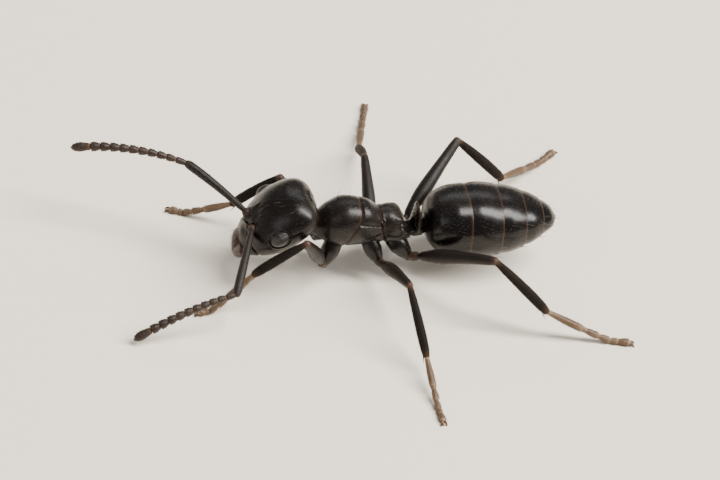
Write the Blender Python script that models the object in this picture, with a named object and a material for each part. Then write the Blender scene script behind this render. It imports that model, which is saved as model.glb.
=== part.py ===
"""Worker of a small black house ant, a still model at life size.

The ant faces -X, its left side is toward -Y, and it stands on the ground z = 0. The origin is on
the ground under the middle of its thorax. Each hard plate is one object. Sizes are in millimetres
until a mesh is made, and a narrow seam parts each plate from its neighbours.
"""

import math

import bmesh
import bpy
import numpy as np
from mathutils import Vector

MM = 0.001
SEAM = 0.004  # clear gap between neighbouring plates

# Driving dimensions of the worker.
HEAD_LENGTH = 0.76  # from the back of the head to the front of the clypeus
HEAD_HALF_WIDTH = 0.335
HEAD_PITCH = math.radians(42)  # how far the face is turned down
HEAD_CENTRE = Vector((-0.86, 0.0, 0.66))
EYE_RADII = (0.085, 0.045, 0.065)  # along the head, outward and across the eye
EYE_MIDDLE = (0.02, 0.305, 0.075)  # share of the head's length, across and above
MANDIBLE_SPAN = (0.49, 0.69)  # shares of the head's length
MANDIBLE_WIDTH = 0.185
MANDIBLE_THICKNESS = (0.068, 0.032)  # at its base and at its tip
ANTENNA_SOCKET = (0.26, 0.095, 0.185)  # share of the head's length, across and above
FUNICULUS_JOINTS = 11
FUNICULUS_RADII = (0.030, 0.044)  # first and last joint
THORAX_FRONT, THORAX_REAR = -0.66, 0.36
THORAX_PARTS = (-0.155, 0.06)  # where its three plates meet
GASTER_PARTS = (0.50, 0.86, 1.15, 1.38, 1.56, 1.70)  # front, meeting places of its plates, tip
GASTER_HALF_WIDTH = 0.355

# How finely the plates are faceted.
PLATE_SIDES = 20
LIMB_SIDES = 8
THIN_SIDES = 6
PETIOLE_SIDES = 14
EYE_SIDES = 12

# Colour, roughness and metallic value of each finish.
FINISHES = {
    "black_plate": ((0.012, 0.009, 0.008), 0.22, 0.0),
    "dark_limb": ((0.035, 0.020, 0.013), 0.35, 0.0),
    "pale_foot": ((0.30, 0.18, 0.10), 0.45, 0.0),
    "brown_jaw": ((0.13, 0.055, 0.025), 0.30, 0.0),
    "eye": ((0.010, 0.010, 0.012), 0.15, 0.0),
}

# Where each outline passes: (place along the plate, size there).
HEAD_WIDTHS = ((-0.50, 0.30), (-0.47, 0.58), (-0.38, 0.83), (-0.20, 0.98), (-0.05, 1.0),
               (0.18, 0.93), (0.36, 0.74), (0.47, 0.56), (0.50, 0.50))
HEAD_ABOVE = ((-0.50, 0.05), (-0.46, 0.12), (-0.30, 0.205), (-0.05, 0.235), (0.20, 0.20),
              (0.40, 0.13), (0.50, 0.085))
HEAD_BELOW = ((-0.50, 0.05), (-0.46, 0.11), (-0.28, 0.185), (0.0, 0.19), (0.25, 0.14), (0.50, 0.05))
THORAX_TOP = ((-0.66, 0.670), (-0.57, 0.660), (-0.50, 0.690), (-0.40, 0.765), (-0.24, 0.825),
              (-0.07, 0.800), (0.04, 0.730), (0.08, 0.712), (0.145, 0.720), (0.23, 0.700),
              (0.30, 0.610), (0.36, 0.500))
THORAX_UNDER = ((-0.66, 0.570), (-0.57, 0.535), (-0.48, 0.460), (-0.36, 0.395), (-0.10, 0.370),
                (0.17, 0.375), (0.36, 0.400))
THORAX_WIDTHS = ((-0.66, 0.055), (-0.57, 0.070), (-0.50, 0.115), (-0.42, 0.168), (-0.28, 0.212),
                 (-0.16, 0.198), (0.005, 0.160), (0.08, 0.150), (0.19, 0.168), (0.28, 0.150),
                 (0.36, 0.095))
GASTER_TOP = ((0.50, 0.600), (0.525, 0.690), (0.60, 0.775), (0.76, 0.825), (0.98, 0.835),
              (1.28, 0.785), (1.50, 0.700), (1.64, 0.612), (1.685, 0.562), (1.70, 0.535))
GASTER_UNDER = ((0.50, 0.440), (0.525, 0.360), (0.60, 0.275), (0.78, 0.210), (1.02, 0.200),
                (1.30, 0.250), (1.52, 0.345), (1.64, 0.420), (1.685, 0.460), (1.70, 0.488))
GASTER_WIDTHS = ((0.50, 0.35), (0.525, 0.56), (0.60, 0.78), (0.76, 0.95), (0.96, 1.0),
                 (1.22, 0.92), (1.44, 0.73), (1.60, 0.47), (1.67, 0.30), (1.70, 0.15))
GASTER_RINGS = (9, 4, 4, 4, 5)
# The waist: (place, half width, top, underside).
PETIOLE = ((0.33, 0.070, 0.500, 0.430), (0.365, 0.075, 0.515, 0.410), (0.39, 0.105, 0.590, 0.395),
           (0.41, 0.110, 0.715, 0.385), (0.438, 0.105, 0.735, 0.385), (0.462, 0.100, 0.610, 0.395),
           (0.485, 0.070, 0.540, 0.415), (0.525, 0.060, 0.520, 0.440))

# Girth of each length of a leg: (share of its length, radius there).
COXA = ((0.0, 0.080), (0.3, 0.085), (0.7, 0.066), (1.0, 0.042))
FEMUR = ((0.0, 0.034), (0.07, 0.040), (0.12, 0.033), (0.16, 0.045), (0.40, 0.062), (0.75, 0.048),
         (0.93, 0.042), (1.0, 0.034))
TIBIA = ((0.0, 0.030), (0.10, 0.031), (0.25, 0.036), (0.70, 0.043), (0.92, 0.038), (1.0, 0.030))
SCAPE = ((0.0, 0.042), (0.06, 0.038), (0.14, 0.030), (0.45, 0.036), (0.85, 0.041), (1.0, 0.036))

# Joints of the foot: (share of its length where the joint ends, radius), and the beading of each.
FOOT_JOINTS = ((0.46, 0.032), (0.64, 0.030), (0.77, 0.029), (0.87, 0.028), (1.0, 0.033))
FOOT_BEAD = ((0.0, 0.72), (0.85, 1.0), (0.97, 0.8))
FOOT_LANDING = 0.80  # share of its length at which a foot has come down to the ground

# A claw as (ahead of the toe, out to its side, height, radius) at four places.
CLAW = ((-0.02, 0.008, 0.025, 0.011), (0.018, 0.016, 0.028, 0.010), (0.042, 0.024, 0.014, 0.007),
        (0.052, 0.027, 0.004, 0.003))

# Joints of each leg: coxa root, hip, knee, ankle and toe.
LEGS = {
    "fore_left": ((-0.345, -0.105, 0.44), (-0.43, -0.175, 0.235), (-0.72, -0.43, 0.76),
                  (-1.15, -0.44, 0.43), (-1.60, -0.48, 0.0)),
    "fore_right": ((-0.345, 0.105, 0.44), (-0.42, 0.18, 0.235), (-0.74, 0.50, 0.68),
                   (-1.08, 0.62, 0.26), (-1.57, 0.82, 0.0)),
    "middle_left": ((-0.01, -0.090, 0.41), (0.08, -0.19, 0.245), (0.143, -0.865, 0.61),
                    (0.25, -1.34, 0.20), (0.28, -1.97, 0.0)),
    "middle_right": ((-0.01, 0.090, 0.41), (0.10, 0.19, 0.245), (0.16, 0.88, 0.50),
                     (0.28, 1.37, 0.12), (0.50, 1.99, 0.0)),
    "hind_left": ((0.21, -0.090, 0.43), (0.35, -0.18, 0.285), (0.935, -0.755, 0.745),
                  (1.42, -0.98, 0.31), (2.19, -1.15, 0.0)),
    "hind_right": ((0.21, 0.090, 0.43), (0.35, 0.18, 0.285), (0.965, 0.80, 0.72),
                   (1.44, 0.77, 0.25), (2.08, 1.28, 0.0)),
}
LEG_GIRTH = {"fore": 1.0, "middle": 0.95, "hind": 1.06}

# Elbow and tip of each antenna, and how far its lash bows upward.
ANTENNAE = {
    "left": ((-1.373, -0.70, 0.455), (-2.27, -0.80, 0.060), 0.05),
    "right": ((-1.605, 0.535, 0.875), (-2.58, 0.88, 0.81), 0.08),
}


def through(points, at):
    """Values at the given places of a smooth curve through the points, which never overshoots them."""
    x, y = np.array(points, float).T
    at = np.clip(at, x[0], x[-1])
    step = np.diff(x)
    slope = np.diff(y) / step
    same_way = slope[:-1] * slope[1:] > 0
    total = np.where(same_way, slope[:-1] + slope[1:], 1.0)
    lean = np.zeros(len(x))
    lean[1:-1] = np.where(same_way, 2 * slope[:-1] * slope[1:] / total, 0.0)
    lean[0], lean[-1] = slope[0], slope[-1]
    k = np.clip(np.searchsorted(x, at, side="right") - 1, 0, len(step) - 1)
    t = (at - x[k]) / step[k]
    held = (1 + 2 * t) * (1 - t) ** 2 * y[k] + t * t * (3 - 2 * t) * y[k + 1]
    return held + (t * (1 - t) ** 2 * lean[k] + t * t * (t - 1) * lean[k + 1]) * step[k]


def oval(half_width, top, bottom, sides, fullness=2.0):
    """A closed oval section as (across, up) points, with its own depth above and below the middle."""
    turn = (np.arange(sides) + 0.5) * math.tau / sides
    c, s = np.cos(turn), np.sin(turn)
    across = half_width * np.sign(c) * np.abs(c) ** (2 / fullness)
    depth = np.where(s > 0, top, bottom)
    return across, depth * np.sign(s) * np.abs(s) ** (2 / fullness)


def finish_of(name):
    """The material of a finish, made once."""
    material = bpy.data.materials.get(name)
    if material is None:
        colour, roughness, metallic = FINISHES[name]
        material = bpy.data.materials.new(name)
        material.use_nodes = True
        shader = material.node_tree.nodes["Principled BSDF"]
        shader.inputs["Base Color"].default_value = (*colour, 1.0)
        shader.inputs["Roughness"].default_value = roughness
        shader.inputs["Metallic"].default_value = metallic
    return material


def skin(name, rings, finish):
    """An object whose closed skin runs over rings of points, with a flat cap at each end."""
    bm = bmesh.new()
    rows = [[bm.verts.new(Vector(p) * MM) for p in ring] for ring in rings]
    for row, following in zip(rows, rows[1:]):
        for i in range(len(row)):
            j = (i + 1) % len(row)
            bm.faces.new((row[i], row[j], following[j], following[i]))
    bm.faces.new(rows[0][::-1])
    bm.faces.new(rows[-1])
    bmesh.ops.recalc_face_normals(bm, faces=bm.faces)
    mesh = bpy.data.meshes.new(name)
    bm.to_mesh(mesh)
    bm.free()
    mesh.shade_smooth()
    mesh.materials.append(finish_of(finish))
    piece = bpy.data.objects.new(name, mesh)
    bpy.data.collections["house_ant"].objects.link(piece)
    return piece


def combine(piece, other, operation, grow=0.0):
    """Cuts a copy of another piece, grown by a margin, out of a piece, or joins it on."""
    cutter = other.copy()
    cutter.data = other.data.copy()
    cutter.name = f"{operation.lower()}_{piece.name}_{other.name}"
    bm = bmesh.new()
    bm.from_mesh(cutter.data)
    bm.normal_update()
    for vertex in bm.verts:
        vertex.co += vertex.normal * grow * MM
    bm.to_mesh(cutter.data)
    bm.free()
    cutter.modifiers.clear()
    cutter.hide_render = True
    cutter.display_type = "WIRE"
    bpy.data.collections["cutters"].objects.link(cutter)
    step = piece.modifiers.new(cutter.name, "BOOLEAN")
    step.operation = operation
    step.solver = "EXACT"
    step.object = cutter


def seat(piece, *neighbours):
    """Cuts the neighbours, grown by the seam, out of a piece, so that it sits against them."""
    for neighbour in neighbours:
        combine(piece, neighbour, "DIFFERENCE", SEAM)


def plate(name, span, outlines, rings, finish, rims=(1.0, 1.0), fullness=2.2):
    """A length of the body between two places on X, inside its width, top and underside outlines."""
    widths, top, under = outlines
    x = np.linspace(*span, rings)
    half, high, low = through(widths, x), through(top, x), through(under, x)
    shrink = np.ones(rings)
    shrink[0], shrink[-1] = rims
    middle, depth = (high + low) / 2, (high - low) / 2
    sections = []
    for i in range(rings):
        size = depth[i] * shrink[i]
        across, up = oval(half[i] * shrink[i], size, size, PLATE_SIDES, fullness)
        sections.append(np.stack([np.full(PLATE_SIDES, x[i]), across, middle[i] + up], axis=1))
    return skin(name, sections, finish)


def tube(name, path, radii, sides, finish):
    """A limb of round section along a path of points, with a radius at each point."""
    path = np.array(path, float)
    along = np.gradient(path, axis=0)
    along /= np.linalg.norm(along, axis=1, keepdims=True)
    side = np.cross(along, (0.0, 0.0, 1.0))
    side /= np.linalg.norm(side, axis=1, keepdims=True)
    lift = np.cross(side, along)
    sections = []
    for i, radius in enumerate(radii):
        across, up = oval(radius, radius, radius, sides)
        sections.append(path[i] + np.outer(across, side[i]) + np.outer(up, lift[i]))
    return skin(name, sections, finish)


def bowed(start, end, rise, shares):
    """Points at the given shares of the way from start to end, bowed by rise at the middle."""
    start, end = np.array(start, float), np.array(end, float)
    shares = np.asarray(shares, float)[:, None]
    return start + (end - start) * shares + 4 * shares * (1 - shares) * np.array((0.0, 0.0, rise))


def limb(name, start, end, rise, girths, size=1.0, finish="dark_limb"):
    """A length of a limb from joint to joint, with the girth given at shares of its length."""
    shares, radii = np.array(girths).T
    return tube(name, bowed(start, end, rise, shares), radii * size, LIMB_SIDES, finish)


def head_place(along, across, above):
    """A point of the head from its place along it (share of its length), across it and above it."""
    forward = np.array((-math.cos(HEAD_PITCH), 0.0, -math.sin(HEAD_PITCH)))
    outward = np.array((-math.sin(HEAD_PITCH), 0.0, math.cos(HEAD_PITCH)))
    sideways = np.array((0.0, 1.0, 0.0))
    parts = np.multiply.outer(np.asarray(along) * HEAD_LENGTH, forward)
    parts = parts + np.multiply.outer(np.asarray(across), sideways)
    return np.array(HEAD_CENTRE) + parts + np.multiply.outer(np.asarray(above), outward)


def head_length(name, span, rings, rims):
    """A length of the head capsule between two shares of its length."""
    t = span[0] + (span[1] - span[0]) * (1 - np.cos(np.linspace(0, math.pi, rings))) / 2
    half = through(HEAD_WIDTHS, t) * HEAD_HALF_WIDTH
    above, below = through(HEAD_ABOVE, t), through(HEAD_BELOW, t)
    shrink = np.ones(rings)
    shrink[0], shrink[-1] = rims
    sections = []
    for i in range(rings):
        size = shrink[i]
        across, up = oval(half[i] * size, above[i] * size, below[i] * size, PLATE_SIDES, 2.1)
        notch = 0.03 * (1 - np.abs(across) / HEAD_HALF_WIDTH) * max(0.0, -0.30 - t[i]) / 0.2
        sections.append(head_place(t[i] + notch, across, up))
    return skin(name, sections, "black_plate")


def eye(name, side):
    """A low oval dome on the side of the head."""
    rings = []
    place, outward, height = EYE_MIDDLE
    for turn in np.linspace(-1.35, 1.35, 7):
        across, up = oval(EYE_RADII[0] * math.cos(turn), EYE_RADII[2] * math.cos(turn),
                          EYE_RADII[2] * math.cos(turn), EYE_SIDES)
        out = side * EYE_RADII[1] * math.sin(turn)
        rings.append(head_place(place + across / HEAD_LENGTH, side * outward + out, height + up))
    return skin(name, rings, "eye")


def mandible(name, side):
    """A three-cornered jaw, closed against its twin at the middle line."""
    reach = np.linspace(0.0, 1.0, 6)
    inner = SEAM + 0.03 * (1 - reach)
    outer = SEAM + MANDIBLE_WIDTH * np.sqrt(1 - 0.94 * reach ** 2)
    thickness = np.interp(reach, (0.0, 1.0), MANDIBLE_THICKNESS)
    sections = []
    for i, share in enumerate(reach):
        half = (outer[i] - inner[i]) / 2
        across, up = oval(half, thickness[i] / 2, thickness[i] / 2, LIMB_SIDES)
        place = MANDIBLE_SPAN[0] + (MANDIBLE_SPAN[1] - MANDIBLE_SPAN[0]) * share
        droop = 0.005 - 0.05 * share ** 2
        sections.append(head_place(place, side * (inner[i] + half + across), droop + up))
    return skin(name, sections, "brown_jaw")


def head():
    """The capsule, its clypeus, the jaws and the eyes."""
    capsule = head_length("head", (-0.5, 0.36), 13, (1.0, 1.0))
    clypeus = head_length("clypeus", (0.37, 0.5), 4, (1.0, 0.8))
    for side, name in ((-1, "left"), (1, "right")):
        seat(capsule, eye(f"eye_{name}", side))
        seat(mandible(f"mandible_{name}", side), clypeus)
    return capsule


def antenna(side, sign, capsule):
    """A scape from its socket to the elbow, and a lash of beads that thickens toward its tip."""
    elbow, tip, rise = ANTENNAE[side]
    place, outward, height = ANTENNA_SOCKET
    root = head_place(place, sign * outward, height)
    scape = limb(f"scape_{side}", root, elbow, 0.02, SCAPE)
    seat(scape, capsule)
    lengths = np.array([1.3] + [1.0] * (FUNICULUS_JOINTS - 2) + [2.0])
    ends = np.concatenate([[0.0], np.cumsum(lengths) / lengths.sum()])
    girths = np.interp(np.linspace(0, 1, FUNICULUS_JOINTS) ** 0.7, (0, 1), FUNICULUS_RADII)
    shares, radii = [], []
    for i, girth in enumerate(girths):
        bead = ((0.04, 0.8), (0.7, 1.0), (0.96, 0.86))
        if i == FUNICULUS_JOINTS - 1:
            bead = ((0.04, 0.8), (0.35, 1.0), (0.75, 0.85), (0.98, 0.35))
        for share, size in bead:
            shares.append(ends[i] + (ends[i + 1] - ends[i]) * share)
            radii.append(girth * size)
    lash = tube(f"funiculus_{side}", bowed(elbow, tip, rise, shares), radii, THIN_SIDES, "dark_limb")
    seat(lash, scape)


def thorax():
    """Pronotum with its neck, mesonotum and propodeum, and the plates that each pair of legs meets."""
    outlines = THORAX_WIDTHS, THORAX_TOP, THORAX_UNDER
    front, waist = THORAX_PARTS
    pronotum = plate("pronotum", (THORAX_FRONT, front), outlines, 10, "black_plate", (1.0, 0.97))
    mesonotum = plate("mesonotum", (front + SEAM, waist), outlines, 5, "black_plate", (0.96, 0.96))
    propodeum = plate("propodeum", (waist + SEAM, THORAX_REAR), outlines, 7, "black_plate", (0.96, 0.8))
    return {"fore": (pronotum,), "middle": (mesonotum, propodeum), "hind": (propodeum,)}


def petiole(propodeum, first_ring):
    """The waist: a low stalk that carries a thin upright scale."""
    sections = []
    for x, half, top, under in PETIOLE:
        middle, depth = (top + under) / 2, (top - under) / 2
        across, up = oval(half, depth, depth, PETIOLE_SIDES, 2.4)
        sections.append(np.stack([np.full(PETIOLE_SIDES, x), across, middle + up], axis=1))
    seat(skin("petiole", sections, "black_plate"), propodeum, first_ring)


def gaster():
    """Five rings of plate, each a little smaller at its front rim than the one before it."""
    outlines = [(x, w * GASTER_HALF_WIDTH) for x, w in GASTER_WIDTHS], GASTER_TOP, GASTER_UNDER
    made = []
    for i, (start, end) in enumerate(zip(GASTER_PARTS, GASTER_PARTS[1:])):
        span, front_rim = ((start, end), 1.0) if i == 0 else ((start + SEAM, end), 0.96)
        made.append(plate(f"gaster_{i + 1}", span, outlines, GASTER_RINGS[i], "black_plate",
                          (front_rim, 1.0)))
    return made


def leg(name, joints, body_plates):
    """Coxa, femur with its trochanter, tibia, and a foot of five joints with two claws."""
    root, hip, knee, ankle, toe = (np.array(joint) for joint in joints)
    girth = LEG_GIRTH[name.split("_")[0]]
    coxa = limb(f"coxa_{name}", root, hip, 0.0, COXA, girth, "black_plate")
    seat(coxa, *body_plates)
    femur = limb(f"femur_{name}", hip, knee, 0.02, FEMUR, girth)
    seat(femur, coxa)
    tibia = limb(f"tibia_{name}", knee, ankle, 0.01, TIBIA, girth)
    seat(tibia, femur)
    seat(foot(name, ankle, toe, girth), tibia)


def foot(name, ankle, toe, girth):
    """A beaded foot that comes down to the ground and ends in two claws on a small flat."""
    shares, radii, start = [], [], 0.0
    for end, radius in FOOT_JOINTS:
        for share, size in FOOT_BEAD:
            shares.append(start + (end - start) * share)
            radii.append(girth * size * radius)
        start = end
    level = 0.75 * radii[-2]
    way = toe - ankle
    path = ankle + np.outer(shares, way)
    still_up = np.clip(1 - np.array(shares) / FOOT_LANDING, 0, 1) ** 1.15
    path[:, 2] = level + (ankle[2] - level) * still_up
    piece = tube(f"tarsus_{name}", path, radii, THIN_SIDES, "pale_foot")
    onto_ground(piece)
    ahead = np.array((way[0], way[1], 0.0)) / math.hypot(way[0], way[1])
    beside = np.array((-ahead[1], ahead[0], 0.0))
    reach, spread, height, claw_radii = np.array(CLAW).T
    for sign in (-1, 1):
        hook = path[-1] + np.outer(reach, ahead) + np.outer(spread, sign * beside)
        hook[:, 2] = height
        claw = tube(f"claw_{sign}_{name}", hook, claw_radii, THIN_SIDES, "pale_foot")
        combine(piece, claw, "UNION")
        bpy.data.objects.remove(claw)
    return piece


def onto_ground(piece):
    """Flattens what reaches below the ground onto it."""
    for vertex in piece.data.vertices:
        vertex.co.z = max(vertex.co.z, 0.0)


def main():
    for old in list(bpy.data.objects):
        bpy.data.objects.remove(old, do_unlink=True)
    for name in ("house_ant", "cutters"):
        bpy.context.scene.collection.children.link(bpy.data.collections.new(name))
    capsule = head()
    plates = thorax()
    seat(plates["fore"][0], capsule)
    for side, sign in (("left", -1), ("right", 1)):
        antenna(side, sign, capsule)
    petiole(plates["hind"][0], gaster()[0])
    for name, joints in LEGS.items():
        leg(name, joints, plates[name.split("_")[0]])


main()
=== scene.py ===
import math

import bpy
import numpy as np
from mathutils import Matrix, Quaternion, Vector


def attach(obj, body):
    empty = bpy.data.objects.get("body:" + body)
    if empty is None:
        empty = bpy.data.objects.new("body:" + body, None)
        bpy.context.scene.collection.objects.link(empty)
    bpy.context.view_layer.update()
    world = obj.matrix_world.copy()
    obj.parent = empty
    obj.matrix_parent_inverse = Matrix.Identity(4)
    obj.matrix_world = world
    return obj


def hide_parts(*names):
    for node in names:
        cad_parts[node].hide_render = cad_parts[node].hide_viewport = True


# A small black house ant at life size. It faces -X, its left side is toward -Y, and lengths are in
# millimetres until a mesh is made. On a surface u runs along it from 0 to 1, and turn round it.
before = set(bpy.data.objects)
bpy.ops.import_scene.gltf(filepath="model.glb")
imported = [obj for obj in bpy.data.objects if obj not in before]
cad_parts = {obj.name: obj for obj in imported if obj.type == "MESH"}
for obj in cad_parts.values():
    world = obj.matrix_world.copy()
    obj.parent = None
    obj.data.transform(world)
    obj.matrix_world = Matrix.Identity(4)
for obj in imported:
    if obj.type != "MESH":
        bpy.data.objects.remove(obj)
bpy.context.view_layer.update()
mm = 0.001
rightAngle = math.pi / 2
sideways, upright = np.eye(3)[1:]
rng = np.random.default_rng(7)
print("frame loaded:", len(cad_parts), "plates and limbs")


# How far x is on its way from low to high, kept between 0 and 1.
def ramp(x, low, high):
    return np.clip((x - low) / (high - low), 0, 1)


# The same as a soft step: 3 t squared - 2 t cubed.
def ease(x, low, high):
    t = ramp(x, low, high)
    return t * t * (3 - 2 * t)


# A soft step up from a to b, and down again from c to d.
def between(x, a, b, c, d):
    return ease(x, a, b) * (1 - ease(x, c, d))


# A rounded hill, 1 at distance 0 and fading as the bell curve exp(-(distance / width) squared).
def hill(distance, width):
    return np.exp(-(distance / width) ** 2)


# A hill of a (height, width) form. A height below 0 makes it a groove or a pit.
def relief(form, distance):
    return form[0] * hill(distance, form[1])


# Which span of a rising list of places each value lies in, and how far along that span it is.
def spanAt(places, at):
    places = np.asarray(places)
    k = np.clip(np.searchsorted(places, at, side="right") - 1, 0, len(places) - 2)
    return k, (at - places[k]) / (places[k + 1] - places[k])


# A curve through (place, value) points that never overshoots: each span is a cubic, and the slope
# at a point is the harmonic mean of the slopes beside it, or level at a peak.
def through(points, at):
    x, y = np.array(points, float).T
    step = np.diff(x)
    slope = np.diff(y) / step
    sameWay = slope[:-1] * slope[1:] > 0
    total = np.where(sameWay, slope[:-1] + slope[1:], 1.0)
    inner = np.where(sameWay, 2 * slope[:-1] * slope[1:] / total, 0.0)
    lean = np.concatenate([slope[:1], inner, slope[-1:]])
    k, t = spanAt(x, np.clip(at, x[0], x[-1]))
    held = (1 + 2 * t) * (1 - t) ** 2 * y[k] + t * t * (3 - 2 * t) * y[k + 1]
    return held + (t * (1 - t) ** 2 * lean[k] + t * t * (t - 1) * lean[k + 1]) * step[k]


# A closed section: across = half width times |cos| to the power 2 / fullness, up = depth above or
# below the middle times |sin| to the same power, each with its sign.
def oval(turn, halfWidth, above, below, fullness=2.0):
    c, s = np.cos(turn), np.sin(turn)
    across = halfWidth * np.sign(c) * np.abs(c) ** (2 / fullness)
    return across, np.where(s > 0, above, below) * np.sign(s) * np.abs(s) ** (2 / fullness)


# Ovals between the top, underside and width outlines of a part at each place along X.
def barrel(shape, x, turn, inset=0.0):
    half, top, under = (through(shape[k], x) for k in ("widths", "top", "under"))
    depth = (top - under) / 2
    inset = np.minimum(inset, depth * 0.9)
    half = np.maximum(half * shape.get("halfWidth", 1) - inset, 0.004)
    across, up = oval(turn, half, depth - inset, depth - inset, shape["fullness"])
    return xyz(x, across, (top + under) / 2 + up)


def unit(v):
    return v / np.maximum(np.linalg.norm(v, axis=-1, keepdims=True), 1e-12)


def scaled(way, amount):
    return way * np.asarray(amount, float)[..., None]


def xyz(x, y, z):
    return np.stack(np.broadcast_arrays(x, y, z), axis=-1).astype(float)


# The steps of a surface along it and round it, over a small reach on both sides.
def slopes(skin, u, turn, reach=2e-3):
    return (skin(np.clip(u + reach, 0, 1), turn) - skin(np.clip(u - reach, 0, 1), turn),
            skin(u, turn + reach) - skin(u, turn - reach))


# The cross product of the two steps as a unit, turned away from the far side of the ring.
def normalAt(skin, u, turn):
    normal = unit(np.cross(*slopes(skin, u, turn)))
    return normal * np.sign(np.sum(normal * (skin(u, turn) - skin(u, turn + math.pi))))


# A surface moved along its own normal by height(turn, place).
def raised(skin, height):
    def moved(u, turn):
        place = skin(u, turn)
        return place + scaled(normalAt(skin, u, turn), height(turn, place))
    return moved


# A round surface carried along a path: path(s) + radius(s) (side cos turn + lift sin turn). A dome
# closes each end: there the radius falls as a sine and the ring moves on as a cosine.
def tubeSkin(path, radius, domes, domeDepth=0.8):
    def skin(u, turn):
        s = ramp(u, domes[0], 1 - domes[1])
        first, last = (ramp(v, 0, dome) * rightAngle for v, dome in zip((u, 1 - u), domes))
        ahead = unit(path(np.clip(s + 1e-3, 0, 1)) - path(np.clip(s - 1e-3, 0, 1)))
        side = unit(np.cross(ahead, upright))
        ring = scaled(side, np.cos(turn)) + scaled(np.cross(side, ahead), np.sin(turn))
        size = radius(s)
        on = (np.cos(last) - np.cos(first)) * size * domeDepth
        return path(s) + scaled(ahead, on) + scaled(ring, size * np.sin(first) * np.sin(last))
    return skin


# A line that bows by rise at its middle: start + (end - start) s + 4 s (1 - s) rise.
def bowed(start, end, rise):
    start, end, rise = (np.array(p, float) for p in (start, end, rise))
    return lambda s: start + scaled(end - start, s) + scaled(rise, 4 * s * (1 - s))


# An egg: middle + axes times (sine of latitude on the two short axes, cosine on the long one).
def eggSkin(middle, longAxis, sideAxis, upAxis):
    def skin(u, turn):
        out = np.sin(math.pi * u)
        return (middle - scaled(longAxis, np.cos(math.pi * u))
                + scaled(sideAxis, out * np.cos(turn)) + scaled(upAxis, out * np.sin(turn)))
    return skin


# A closed shell on a surface: rings of points joined by quads, with a point at each end. With
# loop=True the last ring joins the first, as on a hoop. rim says how pale the surface is.
def shell(skin, rows, columns, rim=0.0, loop=False, poleGap=0.004):
    u = np.linspace(0, 1, rows, endpoint=False) if loop else np.linspace(poleGap, 1 - poleGap, rows)
    u, turn = np.meshgrid(u, np.arange(columns) * math.tau / columns, indexing="ij")
    points = skin(u, turn)
    pale = np.broadcast_to(rim(u, turn) if callable(rim) else rim, u.shape).ravel()
    aroundIt = (np.roll(points, -1, axis=1) - points)[:-1]
    fromMiddle = (points - points.mean(axis=1, keepdims=True))[:-1]
    facesOut = np.sum(np.cross(np.diff(points, axis=0), aroundIt) * fromMiddle) > 0
    at = np.arange(rows * columns).reshape(rows, columns)
    if loop:
        at = np.concatenate([at, at[:1]])
    beside = np.roll(at, -1, axis=1)
    faces = [np.stack([at[:-1], at[1:], beside[1:], beside[:-1]], axis=-1).reshape(-1, 4)]
    points = points.reshape(-1, 3)
    if not loop:
        first, last = (np.full(columns, len(points) + end) for end in (0, 1))
        faces += [np.stack([first, at[0], beside[0]], axis=1),
                  np.stack([last, beside[-1], at[-1]], axis=1)]
        ends = [[ring.mean(0)] for ring in (points[:columns], points[-columns:])]
        points = np.concatenate([points, *ends])
        pale = np.append(pale, [pale[:columns].mean(), pale[-columns:].mean()])
    return points, [f if facesOut else f[:, ::-1] for f in faces], pale


# How pale the two ends of a piece are: near and far are (amount, from, to), each a soft step.
def paleEnds(near=(0, 0, 1), far=(0, 0, 1)):
    return lambda u, turn: near[0] * (1 - ease(u, *near[1:])) + far[0] * ease(u, *far[1:])


def addPiece(name, points, faces, pale, material, slot, nodes=()):
    mesh = bpy.data.meshes.new(name)
    mesh.from_pydata((points * mm).tolist(), [], faces)
    rim = mesh.attributes.new("rim", "FLOAT", "POINT")
    rim.data.foreach_set("value", pale.astype(np.float32))
    mesh.shade_smooth()
    mesh.materials.append(material)
    piece = bpy.data.objects.new(name, mesh)
    bpy.context.scene.collection.objects.link(piece)
    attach(piece, "root")
    if nodes:
        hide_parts(*nodes)
    return mesh


def makePiece(name, shells, material, slot, *nodes):
    starts = np.cumsum([0] + [len(points) for points, _, _ in shells])
    faces = []
    for (_, blocks, _), start in zip(shells, starts):
        for block in blocks:
            faces += (block + start).tolist()
    addPiece(name, np.concatenate([points for points, _, _ in shells]), faces,
             np.concatenate([pale for _, _, pale in shells]), finish[material], slot, nodes)


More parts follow.
